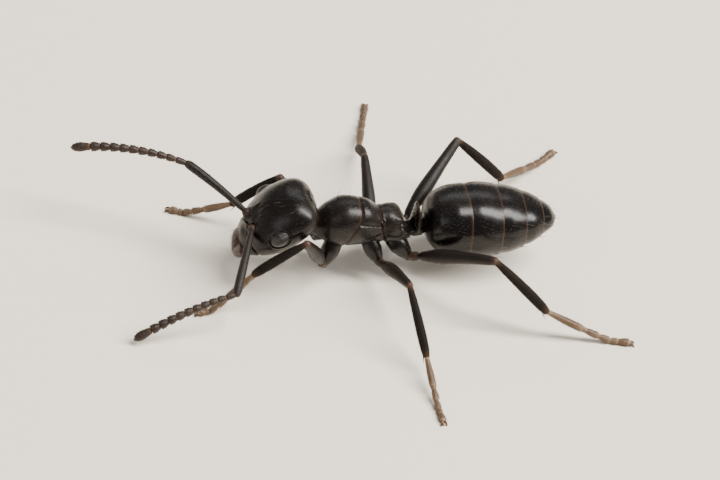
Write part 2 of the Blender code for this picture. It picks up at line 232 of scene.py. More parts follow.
# Finishes of the cuticle. Each has a deep colour that drifts to a warm one in patches, and a thin
# one for rims; roughness where deep and where warm; cell size and height of its net; coat; IOR; and
# how the net is squeezed.
look = {
    "wall": 0.24,  # width of the walls between cells, as a share of a cell
    "swell": (9.0, 0.4),  # how often in a millimetre, and how far against a wall's height
    "patchSize": 0.3, "patchEdge": (0.38, 0.68), "warmth": 0.5,  # the warmer, duller patches
    "coatRoughness": 0.12,
}
finishes = {
    "headPlate": ((0.0042, 0.003, 0.0025), (0.0105, 0.0062, 0.0042), (0.06, 0.028, 0.014),
        0.2, 0.31, 0.0105, 0.0003, 0.06, 1.33),
    "thoraxPlate": ((0.0048, 0.0034, 0.0028), (0.014, 0.0078, 0.005), (0.042, 0.021, 0.012),
        0.23, 0.35, 0.0115, 0.00042, 0.05, 1.33),
    "gasterPlate": ((0.0036, 0.0028, 0.0025), (0.008, 0.0054, 0.0042), (0.04, 0.02, 0.011),
        0.19, 0.28, 0.0125, 0.00018, 0.07, 1.33, (1.7, 0.9, 0.9)),
    "limb": ((0.0062, 0.0042, 0.0033), (0.018, 0.0098, 0.0062), (0.078, 0.042, 0.024),
        0.38, 0.52, 0.0105, 0.0006, 0.0, 1.33),
    "shin": ((0.0062, 0.0042, 0.0033), (0.018, 0.0098, 0.0062), (0.078, 0.042, 0.024),
        0.62, 0.74, 0.0105, 0.0006, 0.0, 1.22),
    "lash": ((0.018, 0.01, 0.0066), (0.04, 0.021, 0.0115), (0.13, 0.072, 0.038),
        0.36, 0.52, 0.009, 0.0005, 0.0, 1.4),
    "foot": ((0.12, 0.07, 0.038), (0.21, 0.13, 0.072), (0.36, 0.25, 0.15),
        0.34, 0.5, 0.009, 0.0004, 0.0, 1.42),
    "jaw": ((0.05, 0.019, 0.0085), (0.095, 0.04, 0.017), (0.012, 0.006, 0.004),
        0.2, 0.3, 0.0125, 0.0003, 0.15, 1.42, (0.35, 1.3, 0.35)),
    "palp": ((0.15, 0.088, 0.045), (0.27, 0.17, 0.09), (0.4, 0.28, 0.17),
        0.34, 0.46, 0.01, 0.0003, 0.0, 1.45),
    "claw": ((0.055, 0.023, 0.01), (0.13, 0.056, 0.023), (0.28, 0.16, 0.078),
        0.2, 0.3, 0.02, 0.0002, 0.2, 1.48),
    "eye": ((0.0045, 0.004, 0.0042), (0.014, 0.0118, 0.0118), (0.04, 0.032, 0.028),
        0.14, 0.24, 0.03, 0.0001, 0.3, 1.48),
    "hair": ((0.04, 0.03, 0.022), (0.085, 0.065, 0.045), (0.18, 0.145, 0.11),
        0.4, 0.52, 0.02, 0.0001, 0.0, 1.33),
    "limbHair": ((0.012, 0.0085, 0.0065), (0.028, 0.02, 0.014), (0.06, 0.046, 0.034),
        0.55, 0.68, 0.02, 0.0001, 0.0, 1.22),
}


# Links or sets the inputs of a node.
def feed(tree, inputs, values):
    for name, value in dict(values).items():
        if isinstance(value, bpy.types.NodeSocket):
            tree.links.new(value, inputs[name])
        else:
            inputs[name].default_value = value


# A new node's output.
def addNode(tree, kind, values=(), out=0, **settings):
    node = tree.nodes.new("ShaderNode" + kind)
    for name, value in settings.items():
        setattr(node, name, value)
    feed(tree, node.inputs, values)
    return node.outputs[out]


def newGroup(name, inputs, outputs):
    tree = bpy.data.node_groups.new(name, "ShaderNodeTree")
    for side, sockets in (("INPUT", inputs), ("OUTPUT", outputs)):
        for label, kind in sockets.items():
            tree.interface.new_socket(label, in_out=side, socket_type="NodeSocket" + kind)
    given = tree.nodes.new("NodeGroupInput").outputs
    inMm = addNode(tree, "VectorMath", {0: given["Place"], 1: (1 / mm,) * 3}, operation="MULTIPLY")
    return tree, given, tree.nodes.new("NodeGroupOutput").inputs, inMm


# The fine net of cells as a height: distance to the nearest cell wall, plus a low swell.
def netGroup():
    tree, given, put, inMm = newGroup(
        "cuticleNet", {"Place": "Vector", "Cell size": "Float", "Stretch": "Vector"},
        {"Height": "Float"})
    swellOften, swellHigh = look["swell"]
    pulled = addNode(tree, "VectorMath", {0: inMm, 1: given["Stretch"]}, operation="MULTIPLY")
    often = addNode(tree, "Math", {0: 1.0, 1: given["Cell size"]}, operation="DIVIDE")
    cells = addNode(tree, "TexVoronoi", {"Vector": pulled, "Scale": often}, "Distance",
                    feature="DISTANCE_TO_EDGE")
    wall = addNode(tree, "MapRange", {"Value": cells, "From Max": look["wall"]},
                   interpolation_type="SMOOTHSTEP")
    low = addNode(tree, "TexNoise", {"Vector": inMm, "Scale": swellOften, "Detail": 3.0}, "Fac")
    swell = addNode(tree, "Math", {0: low, 1: swellHigh}, operation="MULTIPLY")
    feed(tree, put, {"Height": addNode(tree, "Math", {0: wall, 1: swell}, operation="ADD")})
    return tree


# The deep tone drifts toward the warm one in soft patches, and toward the thin one by the rim mark.
# Gloss drifts with the patches.
def toneGroup():
    tree, given, put, inMm = newGroup(
        "cuticleTone", {"Place": "Vector", "Deep": "Color", "Warm": "Color", "Thin": "Color",
                        "Rim": "Float", "Smooth": "Float", "Rough": "Float"},
        {"Colour": "Color", "Roughness": "Float"})
    low, high = look["patchEdge"]
    cloud = addNode(tree, "TexNoise", {"Vector": inMm, "Scale": 1 / look["patchSize"],
                                       "Detail": 4.0, "Roughness": 0.6}, "Fac")
    patch = addNode(tree, "MapRange", {"Value": cloud, "From Min": low, "From Max": high},
                    interpolation_type="SMOOTHSTEP")
    share = addNode(tree, "Math", {0: patch, 1: look["warmth"]}, operation="MULTIPLY")
    body = addNode(tree, "Mix", {0: share, 6: given["Deep"], 7: given["Warm"]}, 2, data_type="RGBA")
    feed(tree, put, {
        "Colour": addNode(tree, "Mix", {0: given["Rim"], 6: body, 7: given["Thin"]}, 2,
                          data_type="RGBA"),
        "Roughness": addNode(tree, "MapRange", {"Value": patch, "To Min": given["Smooth"],
                                                "To Max": given["Rough"]})})
    return tree


def newMaterial(name):
    material = bpy.data.materials.new(name)
    material.use_nodes = True
    tree = material.node_tree
    place = addNode(tree, "TexCoord", out="Object")
    return material, tree, tree.nodes["Principled BSDF"].inputs, place


# A finish: tone and gloss from the tone group, relief from the net group.
def cuticle(name, deep, warm, thin, smooth, rough, cell, depth, coat, ior, stretch=(1, 1, 1)):
    material, tree, shader, place = newMaterial(name)
    rim = addNode(tree, "Attribute", out="Fac", attribute_name="rim")
    tone = addNode(tree, "Group", {
        "Place": place, "Deep": (*deep, 1), "Warm": (*warm, 1), "Thin": (*thin, 1), "Rim": rim,
        "Smooth": smooth, "Rough": rough}, node_tree=cuticleTone).node.outputs
    net = addNode(tree, "Group", {"Place": place, "Cell size": cell, "Stretch": stretch},
                  node_tree=cuticleNet)
    bump = addNode(tree, "Bump", {"Height": net, "Distance": depth * mm, "Strength": 1.0})
    feed(tree, shader, {
        "Base Color": tone["Colour"], "Roughness": tone["Roughness"], "Normal": bump,
        "Coat Weight": coat, "Coat Roughness": look["coatRoughness"], "IOR": ior})
    return material


cuticleNet, cuticleTone = netGroup(), toneGroup()
finish = {name: cuticle(name, *values) for name, values in finishes.items()}
print("finishes made:", len(finish))


# Head. A place on it is (share of its length, across, above), from the middle of the head.
head = {
    "length": 0.76, "halfWidth": 0.335, "pitch": math.radians(42), "centre": (-0.86, 0.0, 0.66),
    "widths": ((-0.5, 0.3), (-0.47, 0.58), (-0.38, 0.83), (-0.2, 0.98), (-0.05, 1.0),
               (0.18, 0.93), (0.36, 0.74), (0.47, 0.56), (0.5, 0.5)),
    "above": ((-0.5, 0.05), (-0.46, 0.12), (-0.3, 0.205), (-0.05, 0.235), (0.2, 0.2),
              (0.4, 0.13), (0.5, 0.085)),
    "below": ((-0.5, 0.05), (-0.46, 0.11), (-0.28, 0.185), (0.0, 0.19), (0.25, 0.14),
              (0.5, 0.05)),
    "fullness": 2.1, "notch": 0.03,  # depth of the bay at the back of the head
    "socket": (0.26, 0.095, 0.185), "collar": (0.044, 0.24, 0.012),  # radius, share, height
    "clypeusAt": 0.365, "tongue": (-0.062, 0.062), "hinge": (0.018, 0.05),
    "seam": (-0.055, 0.011),
}
faceForms = {  # height and width of each hill or groove
    "socketSwell": (0.01, 0.011), "socketPit": (-0.026, 0.036),
    "ridge": (0.02, 0.014), "forehead": (-0.007, 0.028), "middleLine": (-0.0035, 0.006),
    "eyeRing": (0.005, 0.1), "eyeGroove": (-0.006, 0.07),
    "throatLine": (-0.008, 0.008), "cheekLine": (-0.006, 0.01),
    "clypeusSwell": (0.014, 0.08), "clypeusCrease": (-0.006, 0.012),
    "bay": (0.02, 0.045), "corner": (-0.016, 0.05),  # of the clypeus' front edge
}
faceSpans = {  # where each line comes and goes, along the head
    "ridge": (0.02, 0.11, 0.235, 0.27), "middleLine": (-0.16, 0.0, 0.15, 0.2),
    "throatLine": (-0.3, -0.22, 0.12, 0.2), "cheekLine": (0.02, 0.12),
}
faceLines = {  # distance from the middle, how much it spreads backward, and where that starts
    "ridge": (0.05, 0.2, 0.2), "cheekLine": (0.15, 0.25, 0.24),
}
eye = {
    "middle": (0.02, 0.305, 0.075), "radii": (0.085, 0.05, 0.065),
    "facet": 0.0128, "bulge": 0.0026,  # distance between facets, and their height
    "past": 0.35, "rimFrom": (0.82, 0.92),  # how far the dome turns under, and its smooth rim
}
jaw = {
    "span": (0.49, 0.7), "width": 0.182, "thickness": (0.068, 0.03),  # at hinge and tip
    "round": (0.05, 0.06),  # shares of its length that round off at hinge and tip
    "teeth": 7, "bite": 0.026,  # how many, and how deep the gaps between them are
    "rise": 0.7, "small": 0.45,  # a tooth's slow side, and how much every second one lacks
    "cross": 0.01,  # how far the left jaw's edge lies above the right one's
}
forward = np.array((-math.cos(head["pitch"]), 0.0, -math.sin(head["pitch"])))
headUp = np.array((-math.sin(head["pitch"]), 0.0, math.cos(head["pitch"])))


# centre + forward times share of the length + sideways times across + up times above.
def headPlace(share, across, above):
    share, across, above = np.broadcast_arrays(np.asarray(share, float), across, above)
    return (np.array(head["centre"]) + scaled(forward, share * head["length"])
            + scaled(sideways, across) + scaled(headUp, above))


# The reverse of headPlace.
def onHead(place):
    d = place - np.array(head["centre"])
    return d @ forward / head["length"], d[..., 1], d @ headUp


# Ovals of the head's width and depths at each share of its length, with a bay at the back whose
# depth falls with the distance from the middle line.
def headOutline(share, turn, size=1.0):
    half, above, below = (through(head[k], share) * size for k in ("widths", "above", "below"))
    across, up = oval(turn, half * head["halfWidth"], above, below, head["fullness"])
    inBay = 1 - np.abs(across) / head["halfWidth"]
    notch = head["notch"] * inBay * np.maximum(0.0, -0.3 - share) / 0.2
    return headPlace(share + notch, across, up)


# Where the clypeus meets the capsule: it reaches back as a rounded tongue between the sockets, and
# its flanks run forward to the jaw hinges.
def clypeusSeam(turn):
    across = 0.248 * np.cos(turn)
    back = relief(head["tongue"], across) * ease(np.sin(turn), -0.1, 0.5)
    return head["clypeusAt"] + back + relief(head["hinge"], np.abs(across) - 0.21)


# The capsule: its outline from a domed back to the seam, where it dips as a bell curve. Its rings
# are spaced as on a ball.
def capsuleSkin(u, turn, backEnd=0.05, backDeep=0.02, ball=0.86 * math.pi):
    back = ramp(u, 0, backEnd) * rightAngle
    seam = clypeusSeam(turn)
    on = (1 - np.cos(ramp(u, backEnd, 1) * ball)) / (1 - math.cos(ball))
    share = -0.5 + (seam + 0.5) * on
    size = np.sin(back) * (1 + relief(head["seam"], seam - share))
    return headOutline(share - backDeep * np.cos(back), turn, size)


# Relief of the face: a ringed pit at each socket, a ridge that runs back from it, a hollow between
# the ridges, and grooves along the middle line, round the eyes and on the underside.
def capsuleRelief(turn, place):
    share, across, above = onHead(place)
    length, side = share * head["length"], np.abs(across)
    (socketAt, socketOut, _), (eyeAt, _, eyeUp) = head["socket"], eye["middle"]
    toSocket = np.hypot(length - socketAt * head["length"], side - socketOut)
    toEye = np.hypot((length - eyeAt * head["length"]) / eye["radii"][0],
                     (above - eyeUp) / eye["radii"][2])
    ridgeLine, cheekLine = (near + spread * np.clip(start - length, 0, 1)
                            for near, spread, start in faceLines.values())
    onRidge, onLine, onThroat = (between(length, *faceSpans[k])
                                 for k in ("ridge", "middleLine", "throatLine"))
    onCheek = ease(length, *faceSpans["cheekLine"])
    return sum(where * relief(faceForms[name], distance) for name, where, distance in (
        ("socketSwell", above > 0, toSocket - 0.056), ("socketPit", above > 0, toSocket),
        ("ridge", (above > 0) * onRidge, side - ridgeLine),
        ("forehead", (above > 0) * onRidge, side), ("middleLine", (above > 0) * onLine, side),
        ("eyeRing", side > 0.2, toEye - 1.24), ("eyeGroove", side > 0.2, toEye - 1.06),
        ("throatLine", (above < 0) * onThroat, side),
        ("cheekLine", (above < 0) * onCheek, side - cheekLine)))


capsuleFull = raised(capsuleSkin, capsuleRelief)


def capsuleRim(u, turn):
    share, _, above = onHead(capsuleFull(u, turn))
    return 0.55 * ease(share, 0.31, 0.365) * (above > -0.05)


# The clypeus: the capsule's outline carried on to a rolled front edge with a shallow bay.
def clypeusSkin(u, turn, lipFrom=0.76, lipDeep=0.016, end=0.508):
    along, lip = ramp(u, 0, lipFrom), ramp(u, lipFrom, 1) * rightAngle
    seam = clypeusSeam(turn) + 0.001
    half = through(head["widths"], 0.37 + 0.13 * along) * head["halfWidth"]
    side = np.abs(np.cos(turn)) * half
    bay = relief(faceForms["bay"], side) + relief(faceForms["corner"], side - 0.1)
    share = seam + (end - bay * (np.sin(turn) > -0.2) - seam) * along
    size = (1 + relief(head["seam"], share - seam)) * np.cos(lip * 0.97)
    return headOutline(share + lipDeep * np.sin(lip), turn, size)


def clypeusRelief(turn, place):
    share, across, above = onHead(place)
    fromFold = np.abs(across) - 0.128 + 0.25 * (share - 0.43)
    swell = relief(faceForms["clypeusSwell"], across) * hill(share - 0.43, 0.055)
    return (above > 0) * (swell + relief(faceForms["clypeusCrease"], fromFold) * (share < 0.5))


clypeusFull = raised(clypeusSkin, clypeusRelief)


# An eye: a dome of (along sin, across cos, up sin), raised by one minus the squared distance to the
# nearest point of a six-sided lattice.
def eyeSkin(side):
    at, out, up = eye["middle"]
    long, high, tall = eye["radii"]
    middle = headPlace(at, side * (out - 0.006), up)

    def skin(u, turn):
        slope = u * (rightAngle + eye["past"])
        along, upward = long * np.sin(slope) * np.cos(turn), tall * np.sin(slope) * np.sin(turn)
        flat = slope / np.maximum(np.sin(slope), 1e-6) / eye["facet"]
        p, q = along * flat, upward * flat / math.sqrt(3)
        near = np.minimum((p - np.round(p)) ** 2 + 3 * (q - np.round(q)) ** 2,
                          (p - np.floor(p) - 0.5) ** 2 + 3 * (q - np.floor(q) - 0.5) ** 2)
        lens = eye["bulge"] * (1 - 3 * near) * (1 - ease(u, *eye["rimFrom"]))
        size = 1 + lens / high
        return (middle + scaled(forward, along * size) + scaled(headUp, upward * size)
                + scaled(side * sideways, high * np.cos(slope) * size))
    return skin


# A jaw: flat ovals from its hinge to a pointed tip. The outer edge bows as 1 - reach to the power
# 2.4, all to the power 0.62. The inner edge has teeth that rise slowly and fall fast, large and
# small by turns and longer toward the tip, and the left edge lies over the right.
def jawSkin(side):
    first, last = jaw["span"]
    thick, thin = jaw["thickness"]
    hinge, tip = jaw["round"]

    def skin(u, turn):
        reach = np.clip(u, 0, 1)
        inner = 0.026 * (1 - reach) ** 1.4 - 0.004
        bow = (1 - reach ** 2.4) ** 0.62 * (1 - 0.1 * hill(reach, 0.18))
        half = (0.014 + jaw["width"] * bow - inner) / 2
        ends = (1 - ramp(hinge - reach, 0, hinge) ** 2) * (1 - ramp(reach, 1 - tip, 1) ** 2)
        depth = (thick + (thin - thick) * reach) / 2 * np.sqrt(ends)
        across, up = oval(turn, half, depth, depth)
        count = jaw["teeth"] * reach ** 1.25 + 0.3 * (side > 0)
        within = np.mod(count, 1.0)
        tooth = np.minimum(within / jaw["rise"], (1 - within) / (1 - jaw["rise"]))
        tooth = tooth * (1 - jaw["small"] * np.mod(np.floor(count), 2))
        toInner = ease(-np.cos(turn), 0.5, 1.0)
        gap = jaw["bite"] * (0.35 + 0.65 * reach ** 1.5) * (1 - tooth) * ease(reach, 0.05, 0.2)
        over = jaw["cross"] * side * (0.3 + 0.7 * toInner) * ease(reach, 0.05, 0.3)
        droop = 0.005 - 0.05 * reach ** 2 + 0.005 * np.sin(math.pi * reach) * (1 + np.cos(turn))
        return headPlace(first + (last - first) * reach,
                         side * (inner - 0.021 + half + across + gap * toInner),
                         droop + up * (1 - 0.45 * toInner) - over)
    return skin


# The radius of a thread of beads: it swells once in each joint and narrows at both its ends.
def beadedRadius(ends, girths, neck, waist):
    def radius(s):
        k, within = spanAt(ends, s)
        swell = neck + (1 - neck) * ease(within, 0.0, 0.62)
        shoulder = 1 - waist * ease(within, 0.86, 1.0) ** 2
        foot = 1 - waist * (1 - ease(within, 0.0, 0.1)) ** 2
        return np.array(girths)[k] * swell * shoulder * foot
    return radius


# How pale such a thread is: once after each joint's start, and once before its end.
def paleJoints(ends, dome, near, far):
    pale = paleEnds(near, far)
    return lambda u, turn: pale(spanAt(ends, ramp(u, dome, 1 - dome))[1], turn)


mouth = {
    # place, long axis ahead and up, half width, half depth, rows and columns
    "plates": (((0.535, 0.0, -0.03), (0.055, 0.0), 0.085, 0.012, (24, 32)),
               ((0.34, 0.0, -0.105), (0.113275, 0.01955), 0.045, 0.035, (28, 24)),
               ((0.34, -0.075, -0.105), (0.12805, 0.0221), 0.032, 0.034, (28, 24)),
               ((0.34, 0.075, -0.105), (0.12805, 0.0221), 0.032, 0.034, (28, 24))),
    "palps": ((0.062, 6, 0.33, 0.0125), (0.022, 4, 0.17, 0.0105)),  # across, joints, length, girth
    "palpWay": (-0.82, 0.36, -0.22), "palpBow": (0.0, 0.02, -0.04),  # ahead, aside, up
}


# Mouthparts: eggs for the upper lip, the lower lip and its two flanking plates, and four beaded
# palps that bow outward.
def mouthShells():
    for at, (ahead, up), wide, deep, grid in mouth["plates"]:
        yield shell(eggSkin(headPlace(*at), forward * ahead + headUp * up, sideways * wide,
                            headUp * deep), *grid)
    for side in (-1, 1):
        way, bow = (np.array(mouth[k]) @ (forward, side * sideways, headUp)
                    for k in ("palpWay", "palpBow"))
        for across, joints, stretch, girth in mouth["palps"]:
            start = headPlace(0.44, side * across, -0.115)
            radius = beadedRadius(np.linspace(0, 1, joints + 1),
                                  np.linspace(1.0, 0.72, joints) * girth, 0.7, 0.35)
            palp = tubeSkin(bowed(start, start + way * stretch, bow), radius, (0.03, 0.03))
            yield shell(palp, 13 * joints, 14)


# The raised collar of an antenna socket: a hoop of ovals.
def collarSkin(side):
    at, out, up = head["socket"]
    radius, swell, high = head["collar"]
    middle = headPlace(at, side * out, up - 0.022)

    def skin(u, turn):
        spoke = scaled(forward, np.cos(math.tau * u)) + scaled(sideways, np.sin(math.tau * u))
        return (middle + scaled(spoke, radius * (1 + swell * np.cos(turn)))
                + scaled(headUp, high * np.sin(turn)))
    return skin


sides = {"left": -1, "right": 1}
makePiece("headCapsule", [shell(capsuleFull, 200, 220, capsuleRim)]
          + [shell(collarSkin(side), 48, 14, 0.35, loop=True) for side in sides.values()],
          "headPlate", "plate", "head")
makePiece("clypeusShield", [shell(clypeusFull, 90, 200,
                                  paleEnds((0.25, 0.0, 0.15), (0.75, 0.55, 0.85)))],
          "headPlate", "plate", "clypeus")
for name, side in sides.items():
    def darkTeeth(u, turn):
        return ease(-np.cos(turn), 0.62, 0.95) + 0.3 * (1 - ease(u, 0.0, 0.12))
    makePiece(f"jaw_{name}", [shell(jawSkin(side), 150, 56, darkTeeth)], "jaw", "jaw",
              f"mandible_{name}")
    makePiece(f"compoundEye_{name}",
              [shell(eyeSkin(side), 110, 220, paleEnds(far=(1, 0.84, 0.95)))],
              "eye", "eye", f"eye_{name}")
makePiece("mouthparts", list(mouthShells()), "palp", "jaw")
print("head made")


feeler = {
    "left": ((-1.373, -0.7, 0.455), (-2.27, -0.8, 0.06), 0.05),  # elbow, tip, rise of the lash
    "right": ((-1.605, 0.535, 0.875), (-2.58, 0.88, 0.81), 0.08),
    "stem": ((0.0, 0.04), (0.035, 0.04), (0.07, 0.024), (0.12, 0.027), (0.45, 0.035),
             (0.85, 0.0405), (0.95, 0.04), (1.0, 0.034)),
    "stemRise": 0.02, "stemDome": 0.035, "lashDome": 0.012,
    "joints": (1.3, *(1.0,) * 9, 2.0),  # their lengths, one against the other
    "girths": (0.03, 0.044), "neck": 0.72, "waist": 0.3, "tipFrom": 0.9,
}
ends = np.append(0, np.cumsum(feeler["joints"])) / sum(feeler["joints"])
bead = beadedRadius(ends, np.interp(np.linspace(0, 1, len(ends) - 1) ** 0.7, (0, 1),
                                    feeler["girths"]),
                    feeler["neck"], feeler["waist"])


# The lash's radius, rounded off at its tip as the square root of 1 - t to the power 2.4.
def lashRadius(s):
    t = np.clip((s - feeler["tipFrom"]) / 0.105, 0, 1)
    return bead(s) * np.sqrt(np.clip(1 - t ** 2.4, 0.02, 1))


def stemRadius(s):
    return through(feeler["stem"], s)


feelerSkins = {}
for name, side in sides.items():
    elbow, tip, rise = feeler[name]
    at, out, up = head["socket"]
    stemLine = bowed(headPlace(at, side * out, up - 0.012), elbow, upright * feeler["stemRise"])
    scape = tubeSkin(stemLine, stemRadius, [feeler["stemDome"]] * 2)
    dome = feeler["lashDome"]
    lash = tubeSkin(bowed(elbow, tip, upright * rise), lashRadius, (dome, dome))
    feelerSkins[name] = scape, lash
    makePiece(f"feelerStem_{name}",
              [shell(scape, 150, 36, paleEnds((0.6, 0.02, 0.12), (0.45, 0.93, 1.0)))],
              "limb", "limb", f"scape_{name}")
    rim = paleJoints(ends, dome, (0.75, 0.03, 0.2), (0.25, 0.88, 1.0))
    makePiece(f"feelerLash_{name}", [shell(lash, 420, 30, rim)], "lash", "limb",
              f"funiculus_{name}")
print("feelers made")


thorax = {
    "seams": (-0.66, -0.155, 0.06, 0.36),  # neck, two seams on top, rear
    "slants": ((0, 0, 0, 1), (0.03, -0.13, 0.05, 0.75), (0, 0.05, 0.1, 0.8), (0, 0, 0, 1)),
    "top": ((-0.66, 0.67), (-0.57, 0.66), (-0.5, 0.69), (-0.4, 0.765), (-0.24, 0.825),
            (-0.07, 0.8), (0.04, 0.73), (0.08, 0.712), (0.145, 0.72), (0.23, 0.7),
            (0.3, 0.61), (0.36, 0.5)),
    "under": ((-0.66, 0.57), (-0.57, 0.535), (-0.48, 0.46), (-0.36, 0.395), (-0.1, 0.37),
              (0.17, 0.375), (0.36, 0.4)),
    "widths": ((-0.66, 0.055), (-0.57, 0.07), (-0.5, 0.115), (-0.42, 0.168), (-0.28, 0.212),
               (-0.16, 0.198), (0.005, 0.16), (0.08, 0.15), (0.19, 0.168), (0.28, 0.15),
               (0.36, 0.095)),
    "fullness": 2.25, "groove": (0.013, 0.011),  # depth and width of a seam
    # form of each groove along a flank, its height at X = 0, its slope, and where it comes and goes
    "flankGrooves": (((-0.018, 0.009), 0.6445, -0.35, (-0.17, -0.14, 0.05, 0.08)),
                     ((-0.015, 0.008), 0.5275, 0.55, (-0.17, -0.14, 0.05, 0.08)),
                     ((-0.012, 0.01), 0.552, -0.12, (0.09, 0.12, 0.29, 0.33))),
    # place of each breathing hole, radius and form of its ring, form of its pit
    "holes": (((0.25, 0.605), 0.021, (0.006, 0.007), (-0.014, 0.011)),
              ((0.072, 0.665), 0.016, (0.006, 0.006), (-0.01, 0.009))),
    "flank": (0.45, 0.75),  # cosines of the turn where top or underside gives way to the flank
    "gland": (0.018, 0.055), "glandAt": (0.25, 0.455), "glandFlat": 1.2,
    "glandSlit": (-0.01, 0.006), "slitAt": (0.265, 0.475), "slitSlope": 0.5,
    "slitReach": (0.275, 0.035),  # its middle and half its length
    "neckRib": 0.0035, "ribStep": 0.03, "ribsEnd": (-0.6, -0.54),
    "slope": (-0.016, 0.07), "slopeFrom": (0.26, 0.31),
    "slopeEdge": (0.005, 0.02), "edgeOut": 0.1, "edgeSpan": (0.17, 0.21, 0.25, 0.3),
}


# The seams between plates slant: each lies further forward or back on the flanks than on top.
def seamAt(index, turn):
    onTop, change, low, high = thorax["slants"][index]
    return thorax["seams"][index] + onTop + change * ease((1 - np.sin(turn)) / 2, low, high)


# One of the three plates: rings that slide from one seam to the next, with a bell curve's dip at
# each.
def thoraxPlate(index):
    deep, wide = thorax["groove"]

    def skin(u, turn):
        start, end = seamAt(index, turn), seamAt(index + 1, turn)
        x = start + (end - start) * u
        dip = hill(x - start, wide) * (index > 0) + hill(end - x, wide) * (index < 2)
        return barrel(thorax, x, turn, deep * dip)
    return skin


# Relief: grooves and ringed breathing holes on the flanks, the gland's bulge over the hind hip
# with its slit, ribs on the neck, and a hollow slope at the rear.
def thoraxRelief(turn, place):
    x, y, z = np.moveaxis(place, -1, 0)
    flank = ease(np.abs(np.cos(turn)), *thorax["flank"])
    (along, level), (middle, reach) = thorax["glandAt"], thorax["slitReach"]
    away = np.hypot(x - along, (z - level) * thorax["glandFlat"])
    height = flank * relief(thorax["gland"], away)
    along, level = thorax["slitAt"]
    slit = relief(thorax["glandSlit"], z - level - thorax["slitSlope"] * (x - along))
    height += flank * slit * hill(x - middle, reach)
    for form, level, slope, span in thorax["flankGrooves"]:
        height += flank * between(x, *span) * relief(form, z - level - slope * x)
    for (along, level), radius, ring, pit in thorax["holes"]:
        away = np.hypot(x - along, z - level)
        height += flank * (relief(ring, away - radius) + relief(pit, away))
    ribs = np.cos((x - thorax["seams"][0]) * math.tau / thorax["ribStep"])
    height += thorax["neckRib"] * ribs * (1 - ease(x, *thorax["ribsEnd"]))
    edge = relief(thorax["slopeEdge"], np.abs(y) - thorax["edgeOut"])
    edge *= between(x, *thorax["edgeSpan"])
    hollow = relief(thorax["slope"], y) * ease(x, *thorax["slopeFrom"])
    return height + (hollow + edge) * (np.sin(turn) > 0)


thoraxSkins = {name: raised(thoraxPlate(i), thoraxRelief)
               for i, name in enumerate(("pronotum", "mesonotum", "propodeum"))}
for i, (name, skin) in enumerate(thoraxSkins.items()):
    def plateEdge(u, turn):
        seams = hill(u, 0.05) * (i > 0) + hill(1 - u, 0.06)
        return 0.5 * seams + 0.4 * (i == 0) * (1 - ease(u, 0.0, 0.22))
    makePiece(f"{name}Plate", [shell(skin, 130, 180, plateEdge)], "thoraxPlate", "plate", name)
print("thorax made")


stalk = {
    "span": (0.33, 0.54), "fullness": 2.2,
    "widths": ((0.33, 0.066), (0.368, 0.075), (0.415, 0.082), (0.47, 0.074), (0.497, 0.064),
               (0.54, 0.056)),
    "top": ((0.33, 0.5), (0.368, 0.53), (0.415, 0.56), (0.47, 0.545), (0.497, 0.53),
            (0.54, 0.515)),
    "under": ((0.33, 0.43), (0.368, 0.405), (0.415, 0.39), (0.47, 0.395), (0.497, 0.418),
              (0.54, 0.442)),
}
scale = {
    "base": (0.433, 0.47), "top": (0.416, 0.738),  # place along and height
    "widths": ((0.0, 0.088), (0.45, 0.108), (0.8, 0.1), (1.0, 0.078)),
    "thickness": ((0.0, 0.055), (0.4, 0.034), (0.8, 0.019), (1.0, 0.013)),
    "crown": 3.0, "bay": (0.008, 0.035), "overFrom": 0.9, "overHigh": 0.012,
}


def stalkSkin(u, turn):
    start, end = stalk["span"]
    return barrel(stalk, start + (end - start) * u, turn)


# The upright scale: flat ovals stacked from base to top, leaning a little forward, rounded over as
# a quarter circle, with a slight bay in the middle of the top edge.
def scaleSkin(u, turn):
    share = ramp(u, 0, scale["overFrom"])
    over = ramp(u, scale["overFrom"], 1) * rightAngle
    (baseX, baseZ), (topX, topZ) = scale["base"], scale["top"]
    half = through(scale["widths"], share) * np.cos(over) ** 0.5
    thick = through(scale["thickness"], share) * np.cos(over)
    across = half * np.sign(np.cos(turn)) * np.abs(np.cos(turn)) ** 0.85
    crown = scale["crown"] * across ** 2 * share ** 3
    crown = crown + relief(scale["bay"], across) * share ** 6
    high = scale["overHigh"]
    z = baseZ + (topZ - high - baseZ) * share + high * np.sin(over) - crown
    x = baseX + (topX - baseX) * share + thick * np.sin(turn) * (1.1 - 0.35 * np.sin(turn))
    return xyz(x, across, z)


makePiece("waistScale", [shell(stalkSkin, 70, 72, paleEnds((0.4, 0.0, 0.2), (0.4, 0.8, 1.0))),
                         shell(scaleSkin, 110, 120, paleEnds(far=(0.35, 0.8, 0.92)))],
          "thoraxPlate", "plate", "petiole")
print("waist made")


